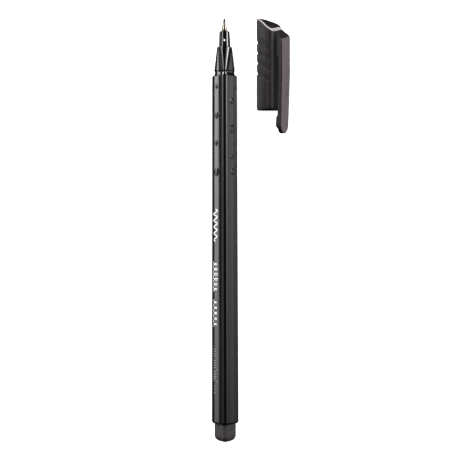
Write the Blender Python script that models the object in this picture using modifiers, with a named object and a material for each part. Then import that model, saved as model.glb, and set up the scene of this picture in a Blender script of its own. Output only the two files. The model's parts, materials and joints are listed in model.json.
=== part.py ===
"""A fineliner technical pen lying on a table with its cap off beside it.

The pen points along +Y and rests on one flat of its rounded-triangular barrel, so a ridge is
uppermost. The cap lies on the matching flat, with its mouth towards -Y and its clip on the right.
Z is up, the table is Z = 0, and the origin is under the pen's axis at its middle.
Sizes are in millimetres here and metres in the meshes.
"""
import math

import bmesh
import bpy
from mathutils import Matrix, Vector

MM = 0.001

# Pen: stations are measured back from the tip of the nib.
PEN_LENGTH = 150.0
NIB_RADIUS = 0.31
NIB_ROD_RADIUS = 0.66
NIB_REAR = 38.0
FERRULE_FRONT = 1.17
FERRULE_BASE = 4.45
FERRULE_FRONT_RADIUS = 0.48
FERRULE_BASE_RADIUS = 1.03
FERRULE_REAR = 9.0
NOSE_FRONT = 4.5
NOSE_FRONT_RADIUS = 1.85
NOSE_REAR_RADIUS = 2.08
CONE_FRONT = 10.15
CONE_REAR = 18.5
CONE_FLAT = 2.65
CONE_CORNER = 1.34
SPIGOT_REAR = 29.4
VENT_STATION = 7.9
VENT_RADIUS = 0.36
BARREL_FRONT = 20.14
BARREL_REAR = 143.6
BARREL_WALL = 0.75
BARREL_CHAMFER = 0.38
PLUG_FRONT = 136.5
PLUG_DOME_DEPTH = 2.1
RESERVOIR_FRONT = 30.5
RESERVOIR_REAR = 135.0
RESERVOIR_RADIUS = 2.3
FILM_THICKNESS = 0.1
PRESS_GAP = 0.06

# Rounded-triangular section: distance of the flats from the axis, and radius of the corners.
FRONT_FLAT = 3.40
FRONT_CORNER = 1.92
REAR_FLAT = 3.61
REAR_CORNER = 1.88
ARC_STEPS = 8
ROUND_STEPS = 24

# Raised domes on the two upper flats: station, offset towards the ridge, radius.
DOME_HEIGHT = 0.26
LEFT_DOMES = ((24.2, 0.3, 0.9), (34.5, 0.3, 1.25), (44.2, 0.2, 1.05), (54.5, 0.3, 1.55))
RIGHT_DOMES = (
    (24.8, -0.7, 0.7), (29.4, 0.7, 1.15), (39.4, 0.6, 1.55),
    (44.3, -0.7, 0.62), (49.2, 0.9, 0.8), (54.4, 0.0, 1.3),
)

# Cap: heights are measured from its mouth towards its closed end.
CAP_AXIS_X = 15.9
CAP_MOUTH_Y = 42.5
CAP_WALL = 0.68
WEB_BOTTOM = 23.0
WEB_TOP = 24.2
WEB_HOLE_RADIUS = 2.08
CORNER_VENT_RADIUS = 0.55
CORNER_VENT_OFFSET = 3.0
CORNER_VENT_TURN = 0.2
END_HEIGHT = 31.0
END_SLOPE = 0.62
END_CURVATURE = 0.04
END_DIRECTION = math.radians(45.0)
RIB_DROP = 4.2
RIB_DEPTH = 0.38
RIB_PERIOD = 3.65
RIB_FIRST = 12.95
RIB_COUNT = 4
SEAL_MOUTH = 10.3
SEAL_BORE_END = 21.6
SEAL_TOP = 22.7
SEAL_RADIUS = 2.58
SEAL_BORE = 2.15
CORE_RADIUS = 2.0
CORE_BORE = 1.45
CORE_FLOOR = 25.0
CORE_SETBACK = 0.6

# Clip: it stands off the flat that faces up and to the right.
CLIP_DIRECTION = math.radians(30.0)
CLIP_ROOT = 18.0
CLIP_HEAD_TOP = 25.9
CLIP_TIP = -8.5
CLIP_GAP = 0.12
CLIP_THICKNESS = 1.55
CLIP_ROOT_OUTER = 6.85
CLIP_MOUTH_OUTER = 6.42
CLIP_WIDTH = 6.4
CLIP_TIP_WIDTH = 6.0
CLIP_FILLET = 0.45
BRIDGE_WIDTH = 4.4
PAD_HEIGHT = 0.55
PAD_NEAR = -2.6
PAD_FAR = -6.4
PAD_RAMP = 0.6
CLIP_BEND = 12.0
CLIP_HEAD_SLOPE = 0.7
CLIP_HEAD_BEVEL = 0.9
CLIP_HEAD_INSET = 0.35
CLIP_INNER_CHAMFER = 0.15
CLIP_FILLET_LIMIT = 0.45
CLIP_FILLET_SHARE = 0.3
CLIP_TIP_HALF_WIDTH = 0.3
BRIDGE_LAP = 0.4
BRIDGE_FOOT_LIFT = 0.4
BRIDGE_TOP_INNER = 28.2
BRIDGE_TOP_OUTER = 26.6

# Offsets of one grip notch from its base height, and the share over which it fades out.
NOTCH_TOP = -0.55
NOTCH_FLOOR_TOP = -0.15
NOTCH_FLOOR_BOTTOM = 0.35
NOTCH_BOTTOM = 1.35
NOTCH_FADE = 0.2
CAP_LIP = 0.2
CAP_LIP_LENGTH = 0.3
CORNER_VENT_LENGTH = 3.0

# Small steps and bores of the inner parts.
CORNER_MIDDLES = (90.0, 210.0, 330.0)
CORNER_HALF_SPAN = 60.0
ROUND_CORNER_SHARE = 0.98
STEP = 0.01
NECK_INSET = 0.14
NECK_LEAD = 0.3
NECK_REAR = 0.8
SHOULDER_RISE = 0.2
NOSE_BEVEL = 0.3
NOSE_BEVEL_LENGTH = 0.25
CONE_BEVEL = 0.2
SPIGOT_BEVEL = 0.2
SPIGOT_BEVEL_LENGTH = 0.4
BORE_OVERRUN = 1.0
FERRULE_SEAT_RADIUS = 1.0
FERRULE_SEAT_LENGTH = 0.7
CARRIER_FRONT_BORE = 1.4
CARRIER_REAR_BORE = 1.9
CARRIER_STEP_LEAD = 0.1
NOSE_REAR_BORE = 2.15
NOSE_REAR_BORE_LEAD = 0.5
VENT_LENGTH = 1.8
VENT_HEIGHT = 2.0
FERRULE_LIP = 0.04
FERRULE_LIP_LENGTH = 0.06
FERRULE_COLLAR = 0.05
FERRULE_SHANK_RADIUS = 0.94
FERRULE_BORE = 0.76
FERRULE_TIP_BORE = 0.37
FERRULE_BORE_END = 3.9
FERRULE_TIP_BORE_END = 1.9
NIB_TIP_LENGTH = 1.9
NIB_CONE_END = 4.1
NIB_REAR_CHAMFER = 0.25
NIB_REAR_CHAMFER_LENGTH = 0.4
CARRIER_SETBACK = 0.8
CARRIER_BORE = 1.03
CARRIER_FRONT_RADIUS = 1.33
CARRIER_REAR_RADIUS = 1.8
CARRIER_NIB_BORE = 0.78
CARRIER_STEP = 0.3
CARRIER_REAR_SETBACK = 1.5
CARRIER_SHANK_GAP = 0.2
RESERVOIR_BORE = 0.72
RESERVOIR_BEVEL = 0.2
RESERVOIR_BEVEL_LENGTH = 0.3
RESERVOIR_CORE = 0.2
RESERVOIR_BORE_LEAD = 0.5
RESERVOIR_BORE_SPARE = 1.0
FILM_SETBACK = 0.5
PLUG_HEAD_INSET = 0.2
PLUG_HEAD_CORNER_INSET = 0.08
PLUG_BEVEL = 0.3
PLUG_BEVEL_LENGTH = 0.5
PLUG_SHOULDER = 0.9
PLUG_SHOULDER_END = 0.7
PLUG_DOME_ANGLES = (25.0, 45.0, 62.0, 77.0)
PLUG_DOME_POLE = 0.08
PLUG_BORE = 1.9
PLUG_BORE_SETBACK = 1.5
NIB_DOME_ANGLES = (30.0, 60.0, 90.0)
SHARP_ANGLE = math.radians(30.0)
AXIS_DISPLAY = 0.01


# --- helpers ---------------------------------------------------------------------------------

def clear_scene():
    for obj in list(bpy.data.objects):
        bpy.data.objects.remove(obj, do_unlink=True)


def new_collection(name):
    group = bpy.data.collections.new(name)
    bpy.context.scene.collection.children.link(group)
    return group


def new_material(name, colour, roughness, metallic=0.0):
    material = bpy.data.materials.new(name)
    material.use_nodes = True
    shader = material.node_tree.nodes["Principled BSDF"]
    shader.inputs["Base Color"].default_value = (*colour, 1.0)
    shader.inputs["Roughness"].default_value = roughness
    shader.inputs["Metallic"].default_value = metallic
    return material


def mix(a, b, share):
    return a + (b - a) * share


def at(station):
    """Axial coordinate of a station of the pen."""
    return PEN_LENGTH / 2 - station


def triangle(flat, corner):
    """Rounded triangle as (across, up) points: ridge up, one flat straight down."""
    centre = 2 * (flat - corner)
    points = []
    for middle in CORNER_MIDDLES:
        cx = centre * math.cos(math.radians(middle))
        cy = centre * math.sin(math.radians(middle))
        for step in range(ARC_STEPS + 1):
            angle = math.radians(middle + CORNER_HALF_SPAN * (2.0 * step / ARC_STEPS - 1.0))
            points.append((cx + corner * math.cos(angle), cy + corner * math.sin(angle)))
    return points


def nearly_round(radius):
    """Circle with the same number of points as a rounded triangle."""
    return triangle(radius, radius * ROUND_CORNER_SHARE)


def level(section, height):
    return [(x, up, height) for x, up in section]


def mesh_object(name, bm, group):
    """Turn a bmesh into an object, with its faces pointing out."""
    bmesh.ops.recalc_face_normals(bm, faces=bm.faces)
    mesh = bpy.data.meshes.new(name)
    bm.to_mesh(mesh)
    bm.free()
    obj = bpy.data.objects.new(name, mesh)
    group.objects.link(obj)
    return obj


def loft(name, rings, group, closed=False):
    """Skin (across, up, along) rings of equal length; a closed loft joins its last ring to its first."""
    bm = bmesh.new()
    loops = [[bm.verts.new(Vector((x, -up, along)) * MM) for x, up, along in ring] for ring in rings]
    count = len(loops[0])
    pairs = list(zip(loops, loops[1:]))
    if closed:
        pairs.append((loops[-1], loops[0]))
    for lower, upper in pairs:
        for i in range(count):
            j = (i + 1) % count
            bm.faces.new((lower[i], lower[j], upper[j], upper[i]))
    if not closed:
        bm.faces.new(loops[0])
        bm.faces.new(loops[-1])
    return mesh_object(name, bm, group)


def turned(name, profile, group, steps=ROUND_STEPS):
    """Turn a (radius, axial) profile about Z; it runs down the outer side, and a bore closes it."""
    bm = bmesh.new()
    verts = [bm.verts.new((radius * MM, 0.0, along * MM)) for radius, along in profile]
    for a, b in zip(verts, verts[1:]):
        bm.edges.new((a, b))
    if profile[0][0] > 0.0:
        bm.edges.new((verts[-1], verts[0]))
    mesh = bpy.data.meshes.new(name)
    bm.to_mesh(mesh)
    bm.free()
    obj = bpy.data.objects.new(name, mesh)
    group.objects.link(obj)
    screw = obj.modifiers.new("turn", "SCREW")
    screw.axis = "Z"
    screw.steps = steps
    screw.render_steps = steps
    screw.use_merge_vertices = True
    screw.merge_threshold = 1e-6
    return obj


def boolean(obj, cutter, operation):
    modifier = obj.modifiers.new(operation.lower(), "BOOLEAN")
    modifier.operation = operation
    modifier.solver = "EXACT"
    modifier.object = cutter
    cutter.hide_render = True
    cutter.display_type = "WIRE"


def finish(obj, material, parent):
    obj.data.materials.append(material)
    obj.data.shade_smooth()
    obj.data.set_sharp_from_angle(angle=SHARP_ANGLE)
    obj.parent = parent
    return obj


def axis_empty(name, location, tilt, group):
    """Empty whose Z runs along the object's length and whose -Y is up."""
    empty = bpy.data.objects.new(name, None)
    empty.empty_display_size = AXIS_DISPLAY
    empty.location = Vector(location) * MM
    empty.rotation_euler = (math.radians(-90.0) - tilt, 0.0, 0.0)
    group.objects.link(empty)
    return empty


# --- pen -------------------------------------------------------------------------------------

def barrel_section(station, inset=0.0):
    share = (station - BARREL_FRONT) / (BARREL_REAR - BARREL_FRONT)
    flat = mix(FRONT_FLAT, REAR_FLAT, share) - inset
    corner = mix(FRONT_CORNER, REAR_CORNER, share) - inset
    return triangle(flat, corner)


def make_domes(cutters):
    """All raised domes as flattened spheres centred on the two upper flats."""
    bm = bmesh.new()
    for side, domes in ((-1.0, LEFT_DOMES), (1.0, RIGHT_DOMES)):
        normal = Vector((side * math.cos(CLIP_DIRECTION), -math.sin(CLIP_DIRECTION), 0.0))
        towards_ridge = Vector((-side * math.sin(CLIP_DIRECTION), -math.cos(CLIP_DIRECTION), 0.0))
        for station, offset, radius in domes:
            share = (station - BARREL_FRONT) / (BARREL_REAR - BARREL_FRONT)
            flat = mix(FRONT_FLAT, REAR_FLAT, share)
            centre = normal * flat + towards_ridge * offset + Vector((0.0, 0.0, at(station)))
            ball = bmesh.ops.create_uvsphere(bm, u_segments=16, v_segments=8, radius=radius)
            for vert in ball["verts"]:
                height = vert.co.z * DOME_HEIGHT / radius
                local = vert.co.copy()
                vert.co = centre + normal * height + towards_ridge * local.x
                vert.co.z += local.y
    bmesh.ops.scale(bm, vec=(MM, MM, MM), verts=bm.verts)
    return mesh_object("dome_cutter", bm, cutters)


def make_barrel(parts, cutters):
    rings = [
        level(barrel_section(BARREL_FRONT, BARREL_CHAMFER), at(BARREL_FRONT)),
        level(barrel_section(BARREL_FRONT + BARREL_CHAMFER), at(BARREL_FRONT + BARREL_CHAMFER)),
        level(barrel_section(BARREL_REAR - BARREL_CHAMFER), at(BARREL_REAR - BARREL_CHAMFER)),
        level(barrel_section(BARREL_REAR, BARREL_CHAMFER), at(BARREL_REAR)),
        level(barrel_section(BARREL_REAR, BARREL_WALL), at(BARREL_REAR)),
        level(barrel_section(BARREL_FRONT, BARREL_WALL), at(BARREL_FRONT)),
    ]
    barrel = loft("barrel", rings, parts, closed=True)
    boolean(barrel, make_domes(cutters), "UNION")
    return barrel


def make_nose_section(parts, cutters):
    neck_flat = CONE_FLAT - NECK_INSET
    shoulder_flat = CONE_FLAT + SHOULDER_RISE
    spigot_flat = FRONT_FLAT - BARREL_WALL - PRESS_GAP
    spigot_corner = FRONT_CORNER - BARREL_WALL - PRESS_GAP
    shoulder_rear = BARREL_FRONT - PRESS_GAP
    rings = [
        level(nearly_round(NOSE_FRONT_RADIUS - NOSE_BEVEL), at(NOSE_FRONT)),
        level(nearly_round(NOSE_FRONT_RADIUS), at(NOSE_FRONT + NOSE_BEVEL_LENGTH)),
        level(nearly_round(NOSE_REAR_RADIUS), at(CONE_FRONT)),
        level(nearly_round(CONE_FLAT - CONE_BEVEL), at(CONE_FRONT + STEP)),
        level(nearly_round(CONE_FLAT), at(CONE_FRONT + NOSE_BEVEL_LENGTH)),
        level(triangle(CONE_FLAT, CONE_CORNER), at(CONE_REAR)),
        level(triangle(neck_flat, CONE_CORNER - NECK_INSET), at(CONE_REAR + NECK_LEAD)),
        level(triangle(neck_flat, CONE_CORNER - NECK_INSET), at(BARREL_FRONT - NECK_REAR)),
        level(triangle(shoulder_flat, CONE_CORNER + SHOULDER_RISE), at(shoulder_rear)),
        level(triangle(spigot_flat, spigot_corner), at(shoulder_rear + STEP)),
        level(triangle(spigot_flat, spigot_corner), at(SPIGOT_REAR - SPIGOT_BEVEL_LENGTH)),
        level(triangle(spigot_flat - SPIGOT_BEVEL, spigot_corner - SPIGOT_BEVEL), at(SPIGOT_REAR)),
    ]
    nose = loft("nose_section", rings, parts)
    bore = turned("nose_bore", [
        (0.0, at(NOSE_FRONT - BORE_OVERRUN)),
        (FERRULE_SEAT_RADIUS, at(NOSE_FRONT - BORE_OVERRUN)),
        (FERRULE_SEAT_RADIUS, at(NOSE_FRONT + FERRULE_SEAT_LENGTH)),
        (CARRIER_FRONT_BORE, at(NOSE_FRONT + FERRULE_SEAT_LENGTH)),
        (CARRIER_FRONT_BORE, at(CONE_FRONT + CARRIER_STEP_LEAD)),
        (CARRIER_REAR_BORE, at(CONE_FRONT + CARRIER_STEP_LEAD)),
        (CARRIER_REAR_BORE, at(CONE_REAR - NOSE_REAR_BORE_LEAD)),
        (NOSE_REAR_BORE, at(CONE_REAR)),
        (NOSE_REAR_BORE, at(SPIGOT_REAR + BORE_OVERRUN)),
        (0.0, at(SPIGOT_REAR + BORE_OVERRUN)),
    ], cutters)
    boolean(nose, bore, "DIFFERENCE")
    bm = bmesh.new()
    bmesh.ops.create_cone(
        bm, cap_ends=True, segments=16,
        radius1=VENT_RADIUS * MM, radius2=VENT_RADIUS * MM, depth=VENT_LENGTH * MM)
    vent = mesh_object("vent_cutter", bm, cutters)
    vent.rotation_euler = (math.radians(90.0), 0.0, 0.0)
    vent.location = Vector((0.0, -VENT_HEIGHT, at(VENT_STATION))) * MM
    boolean(nose, vent, "DIFFERENCE")
    return nose, (bore, vent)


def make_ferrule(parts):
    return turned("tip_ferrule", [
        (FERRULE_FRONT_RADIUS - FERRULE_LIP, at(FERRULE_FRONT)),
        (FERRULE_FRONT_RADIUS, at(FERRULE_FRONT + FERRULE_LIP_LENGTH)),
        (FERRULE_BASE_RADIUS, at(FERRULE_BASE - FERRULE_COLLAR)),
        (FERRULE_BASE_RADIUS, at(FERRULE_BASE)),
        (FERRULE_SHANK_RADIUS, at(FERRULE_BASE)),
        (FERRULE_SHANK_RADIUS, at(FERRULE_REAR)),
        (FERRULE_BORE, at(FERRULE_REAR)),
        (FERRULE_BORE, at(FERRULE_BORE_END)),
        (FERRULE_TIP_BORE, at(FERRULE_TIP_BORE_END)),
        (FERRULE_TIP_BORE, at(FERRULE_FRONT)),
    ], parts)


def make_nib(parts):
    profile = [(0.0, at(0.0))]
    for degrees in NIB_DOME_ANGLES:
        angle = math.radians(degrees)
        profile.append((NIB_RADIUS * math.sin(angle), at(NIB_RADIUS * (1.0 - math.cos(angle)))))
    profile += [
        (NIB_RADIUS, at(NIB_TIP_LENGTH)),
        (NIB_ROD_RADIUS, at(NIB_CONE_END)),
        (NIB_ROD_RADIUS, at(NIB_REAR - NIB_REAR_CHAMFER_LENGTH)),
        (NIB_ROD_RADIUS - NIB_REAR_CHAMFER, at(NIB_REAR)),
        (0.0, at(NIB_REAR)),
    ]
    return turned("fibre_nib", profile, parts, steps=16)


def make_tip_carrier(parts):
    front = NOSE_FRONT + CARRIER_SETBACK
    return turned("tip_carrier", [
        (CARRIER_BORE, at(front)),
        (CARRIER_FRONT_RADIUS, at(front)),
        (CARRIER_FRONT_RADIUS, at(CONE_FRONT + CARRIER_STEP)),
        (CARRIER_REAR_RADIUS, at(CONE_FRONT + CARRIER_STEP)),
        (CARRIER_REAR_RADIUS, at(CONE_REAR - CARRIER_REAR_SETBACK)),
        (CARRIER_NIB_BORE, at(CONE_REAR - CARRIER_REAR_SETBACK)),
        (CARRIER_NIB_BORE, at(FERRULE_REAR + CARRIER_SHANK_GAP)),
        (CARRIER_BORE, at(FERRULE_REAR + CARRIER_SHANK_GAP)),
    ], parts)


def make_reservoir(parts):
    bore_end = NIB_REAR + RESERVOIR_BORE_SPARE
    return turned("ink_reservoir", [
        (RESERVOIR_BORE, at(RESERVOIR_FRONT)),
        (RESERVOIR_RADIUS - RESERVOIR_BEVEL, at(RESERVOIR_FRONT)),
        (RESERVOIR_RADIUS, at(RESERVOIR_FRONT + RESERVOIR_BEVEL_LENGTH)),
        (RESERVOIR_RADIUS, at(RESERVOIR_REAR)),
        (RESERVOIR_CORE, at(RESERVOIR_REAR)),
        (RESERVOIR_CORE, at(bore_end + RESERVOIR_BORE_LEAD)),
        (RESERVOIR_BORE, at(bore_end)),
    ], parts)


def make_film(parts):
    inner = RESERVOIR_RADIUS + PRESS_GAP
    outer = inner + FILM_THICKNESS
    front = RESERVOIR_FRONT + FILM_SETBACK
    rear = RESERVOIR_REAR - FILM_SETBACK
    return turned("reservoir_film", [
        (inner, at(front)),
        (outer, at(front)),
        (outer, at(rear)),
        (inner, at(rear)),
    ], parts)


def make_rear_plug(parts, cutters):
    spigot_flat = REAR_FLAT - BARREL_WALL - PRESS_GAP
    spigot_corner = REAR_CORNER - BARREL_WALL - PRESS_GAP
    head_flat = spigot_flat - PLUG_HEAD_INSET
    head_corner = spigot_corner - PLUG_HEAD_CORNER_INSET
    head = triangle(head_flat, head_corner)
    dome_start = PEN_LENGTH - PLUG_DOME_DEPTH
    rings = [
        level(triangle(spigot_flat - PLUG_BEVEL, spigot_corner - PLUG_BEVEL), at(PLUG_FRONT)),
        level(triangle(spigot_flat, spigot_corner), at(PLUG_FRONT + PLUG_BEVEL_LENGTH)),
        level(triangle(spigot_flat, spigot_corner), at(BARREL_REAR - PLUG_SHOULDER)),
        level(head, at(BARREL_REAR - PLUG_SHOULDER_END)),
        level(head, at(dome_start)),
    ]
    for degrees in PLUG_DOME_ANGLES:
        scale = math.cos(math.radians(degrees))
        station = dome_start + PLUG_DOME_DEPTH * math.sin(math.radians(degrees))
        rings.append(level([(x * scale, up * scale) for x, up in head], at(station)))
    rings.append(level([(x * PLUG_DOME_POLE, up * PLUG_DOME_POLE) for x, up in head], at(PEN_LENGTH)))
    plug = loft("rear_plug", rings, parts)
    bore = turned("plug_bore", [
        (0.0, at(PLUG_FRONT - BORE_OVERRUN)),
        (PLUG_BORE, at(PLUG_FRONT - BORE_OVERRUN)),
        (PLUG_BORE, at(dome_start - PLUG_BORE_SETBACK)),
        (0.0, at(dome_start - PLUG_BORE_SETBACK)),
    ], cutters)
    boolean(plug, bore, "DIFFERENCE")
    return plug, bore


# --- cap -------------------------------------------------------------------------------------

def end_height(x, up):
    """Height of the cap's slanted, slightly bowed end above a point of its section."""
    along = x * math.cos(END_DIRECTION) + up * math.sin(END_DIRECTION)
    return END_HEIGHT - END_SLOPE * along - END_CURVATURE * along * along


def rib_share(x, up):
    """0 on the corner opposite the clip, rising to 1 on the two corners beside the clip."""
    reach = 2 * (FRONT_FLAT - FRONT_CORNER) + FRONT_CORNER
    along_clip = x * math.cos(CLIP_DIRECTION) + up * math.sin(CLIP_DIRECTION)
    return min(1.0, (along_clip + reach) / (1.5 * reach))


def rib_ring(height, depth):
    """Ring of the shell that drops away from the rear corner, sunk in by the rib's depth."""
    ring = []
    for x, up in triangle(FRONT_FLAT, FRONT_CORNER):
        share = rib_share(x, up)
        fade = min(1.0, max(0.0, (1.0 - share) / NOTCH_FADE))
        shrink = 1.0 - depth * fade / math.hypot(x, up)
        ring.append((x * shrink, up * shrink, height - RIB_DROP * share))
    return ring


def shell_outside():
    outer = triangle(FRONT_FLAT, FRONT_CORNER)
    lip = triangle(FRONT_FLAT - CAP_LIP, FRONT_CORNER - CAP_LIP)
    rings = [level(lip, 0.0), level(outer, CAP_LIP_LENGTH)]
    for rib in range(RIB_COUNT):
        bottom = RIB_FIRST + RIB_PERIOD * rib
        rings.append(rib_ring(bottom + NOTCH_TOP, 0.0))
        rings.append(rib_ring(bottom + NOTCH_FLOOR_TOP, RIB_DEPTH))
        rings.append(rib_ring(bottom + NOTCH_FLOOR_BOTTOM, RIB_DEPTH))
        rings.append(rib_ring(bottom + NOTCH_BOTTOM, 0.0))
    rings.append([(x, up, end_height(x, up)) for x, up in outer])
    return rings


def shell_inside():
    inner = triangle(FRONT_FLAT - CAP_WALL, FRONT_CORNER - CAP_WALL)
    hole = nearly_round(WEB_HOLE_RADIUS)
    return [
        [(x, up, end_height(x, up)) for x, up in inner],
        level(inner, WEB_TOP),
        level(hole, WEB_TOP),
        level(hole, WEB_BOTTOM),
        level(inner, WEB_BOTTOM),
        level(inner, 0.0),
    ]


def clip_point(outward, across):
    """(across, up) of a point given outward along the clip's normal and across its width."""
    cos, sin = math.cos(CLIP_DIRECTION), math.sin(CLIP_DIRECTION)
    return outward * cos - across * sin, outward * sin + across * cos


def clip_ring(inner, outer, half_width, height):
    """Cross-section of the clip: a flat bar with rounded long edges on its outer face."""
    fillet = min(CLIP_FILLET, half_width * CLIP_FILLET_LIMIT)
    corner = fillet * CLIP_FILLET_SHARE
    points = [(inner, -half_width + CLIP_INNER_CHAMFER), (inner + CLIP_INNER_CHAMFER, -half_width)]
    points += [(outer - fillet, -half_width), (outer - corner, -half_width + corner)]
    points += [(outer, -half_width + fillet), (outer, half_width - fillet)]
    points += [(outer - corner, half_width - corner), (outer - fillet, half_width)]
    points += [(inner + CLIP_INNER_CHAMFER, half_width), (inner, half_width - CLIP_INNER_CHAMFER)]
    return [(*clip_point(outward, across), height) for outward, across in points]


def make_clip_head(cutters):
    """Fixed top of the clip and the bridge that carries it on the shell."""
    inner = CLIP_ROOT_OUTER - CLIP_THICKNESS
    head_rings = [
        clip_ring(inner, CLIP_ROOT_OUTER, CLIP_WIDTH / 2, CLIP_ROOT),
        clip_ring(inner, CLIP_ROOT_OUTER, CLIP_WIDTH / 2, CLIP_HEAD_TOP - CLIP_HEAD_BEVEL),
        clip_ring(inner, CLIP_ROOT_OUTER, CLIP_WIDTH / 2 - CLIP_HEAD_INSET, CLIP_HEAD_TOP),
    ]
    for ring in head_rings[1:]:
        for i, (x, up, height) in enumerate(ring):
            outward = x * math.cos(CLIP_DIRECTION) + up * math.sin(CLIP_DIRECTION)
            ring[i] = (x, up, height + CLIP_HEAD_SLOPE * (CLIP_ROOT_OUTER - outward))
    head = loft("clip_head", head_rings, cutters)
    bridge_rings = []
    foot = CLIP_ROOT + BRIDGE_FOOT_LIFT
    ends = ((FRONT_FLAT - BRIDGE_LAP, BRIDGE_TOP_INNER), (inner + BRIDGE_LAP, BRIDGE_TOP_OUTER))
    for outward, top in ends:
        ring = []
        for across, height in ((-1, foot), (1, foot), (1, top), (-1, top)):
            x, up = clip_point(outward, across * BRIDGE_WIDTH / 2)
            ring.append((x, up, height))
        bridge_rings.append(ring)
    bridge = loft("clip_bridge", bridge_rings, cutters)
    return head, bridge


def make_cap_shell(parts, cutters):
    shell = loft("cap_shell", shell_outside() + shell_inside(), parts, closed=True)
    bm = bmesh.new()
    for middle in CORNER_MIDDLES:
        vent = bmesh.ops.create_cone(
            bm, cap_ends=True, segments=12,
            radius1=CORNER_VENT_RADIUS, radius2=CORNER_VENT_RADIUS, depth=CORNER_VENT_LENGTH)
        bmesh.ops.rotate(
            bm, verts=vent["verts"], matrix=Matrix.Rotation(CORNER_VENT_TURN, 3, "Z"))
        x = CORNER_VENT_OFFSET * math.cos(math.radians(middle))
        up = CORNER_VENT_OFFSET * math.sin(math.radians(middle))
        bmesh.ops.translate(bm, vec=(x, -up, (WEB_BOTTOM + WEB_TOP) / 2), verts=vent["verts"])
    bmesh.ops.scale(bm, vec=(MM, MM, MM), verts=bm.verts)
    vents = mesh_object("corner_vent_cutter", bm, cutters)
    head, bridge = make_clip_head(cutters)
    boolean(shell, vents, "DIFFERENCE")
    boolean(shell, bridge, "UNION")
    boolean(shell, head, "UNION")
    return shell, (vents, bridge, head)


def make_cap_core(parts):
    """Round inner cap: a blind tube that seals on the nose, and a core that fills the open end."""
    top_outer = [(x, up, end_height(x, up) - CORE_SETBACK) for x, up in nearly_round(CORE_RADIUS)]
    top_inner = [(x, up, end_height(x, up) - CORE_SETBACK) for x, up in nearly_round(CORE_BORE)]
    rings = [
        level(nearly_round(SEAL_BORE), SEAL_BORE_END),
        level(nearly_round(SEAL_BORE), SEAL_MOUTH),
        level(nearly_round(SEAL_RADIUS), SEAL_MOUTH),
        level(nearly_round(SEAL_RADIUS), SEAL_TOP),
        level(nearly_round(CORE_RADIUS), SEAL_TOP),
        top_outer,
        top_inner,
        level(nearly_round(CORE_BORE), CORE_FLOOR),
    ]
    return loft("cap_core", rings, parts)


def clip_outer(height):
    """The clip runs level beside the shell, then leans in towards its tip."""
    share = max(0.0, (CLIP_BEND - height) / CLIP_BEND)
    return CLIP_ROOT_OUTER - (CLIP_ROOT_OUTER - CLIP_MOUTH_OUTER) * share


def clip_half_width(height):
    """The clip narrows a little, and its tip is a half circle."""
    share = (CLIP_ROOT - height) / (CLIP_ROOT - CLIP_TIP)
    half = mix(CLIP_WIDTH, CLIP_TIP_WIDTH, share) / 2
    radius = CLIP_TIP_WIDTH / 2
    below = CLIP_TIP + radius - height
    if below <= 0.0:
        return half
    return max(CLIP_TIP_HALF_WIDTH, math.sqrt(max(0.0, radius * radius - below * below)))


def make_clip(parts):
    """Free length of the clip, with its origin on the line where it bends."""
    radius = CLIP_TIP_WIDTH / 2
    heights = [CLIP_ROOT - CLIP_GAP, CLIP_BEND, 0.0, PAD_NEAR + PAD_RAMP, PAD_NEAR]
    heights += [CLIP_TIP + radius - radius * math.sin(math.radians(a)) for a in (0, 30, 50, 68, 82)]
    heights += [PAD_FAR, PAD_FAR - PAD_RAMP, CLIP_TIP]
    rings = []
    for height in sorted(heights, reverse=True):
        outer = clip_outer(height)
        on_pad = PAD_FAR <= height <= PAD_NEAR
        thickness = CLIP_THICKNESS + (PAD_HEIGHT if on_pad else 0.0)
        rings.append(clip_ring(outer - thickness, outer, clip_half_width(height), height))
    return loft("cap_clip", rings, parts)


def clip_pivot():
    """Middle of the clip's thickness at its root, as (x, up, height)."""
    x, up = clip_point(CLIP_ROOT_OUTER - CLIP_THICKNESS / 2, 0.0)
    return x, up, CLIP_ROOT


def move_origin(obj, pivot):
    """Put the object's origin at a pivot of its parent's frame without moving the shape."""
    x, up, along = pivot
    offset = Vector((x, -up, along)) * MM
    for vert in obj.data.vertices:
        vert.co -= offset
    obj.location = offset


def build_pen(parts, cutters, looks):
    tilt = math.atan((REAR_FLAT - FRONT_FLAT) / (BARREL_REAR - BARREL_FRONT))
    middle_share = (PEN_LENGTH / 2 - BARREL_FRONT) / (BARREL_REAR - BARREL_FRONT)
    middle_height = mix(FRONT_FLAT, REAR_FLAT, middle_share) / math.cos(tilt)
    axis = axis_empty("pen_axis", (0.0, 0.0, middle_height), tilt, parts)
    finish(make_barrel(parts, cutters), looks["barrel"], axis)
    nose, nose_cutters = make_nose_section(parts, cutters)
    plug, plug_cutter = make_rear_plug(parts, cutters)
    finish(nose, looks["barrel"], axis)
    finish(plug, looks["satin"], axis)
    finish(make_ferrule(parts), looks["metal"], axis)
    finish(make_nib(parts), looks["nib"], axis)
    finish(make_tip_carrier(parts), looks["carrier"], axis)
    finish(make_reservoir(parts), looks["fibre"], axis)
    finish(make_film(parts), looks["film"], axis)
    for cutter in (cutters.objects["dome_cutter"], plug_cutter, *nose_cutters):
        cutter.parent = axis


def build_cap(parts, cutters, looks):
    axis = axis_empty("cap_axis", (CAP_AXIS_X, CAP_MOUTH_Y, FRONT_FLAT), 0.0, parts)
    shell, shell_cutters = make_cap_shell(parts, cutters)
    finish(shell, looks["satin"], axis)
    finish(make_cap_core(parts), looks["satin"], axis)
    clip = make_clip(parts)
    move_origin(clip, clip_pivot())
    finish(clip, looks["satin"], axis)
    for cutter in shell_cutters:
        cutter.parent = axis


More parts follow.
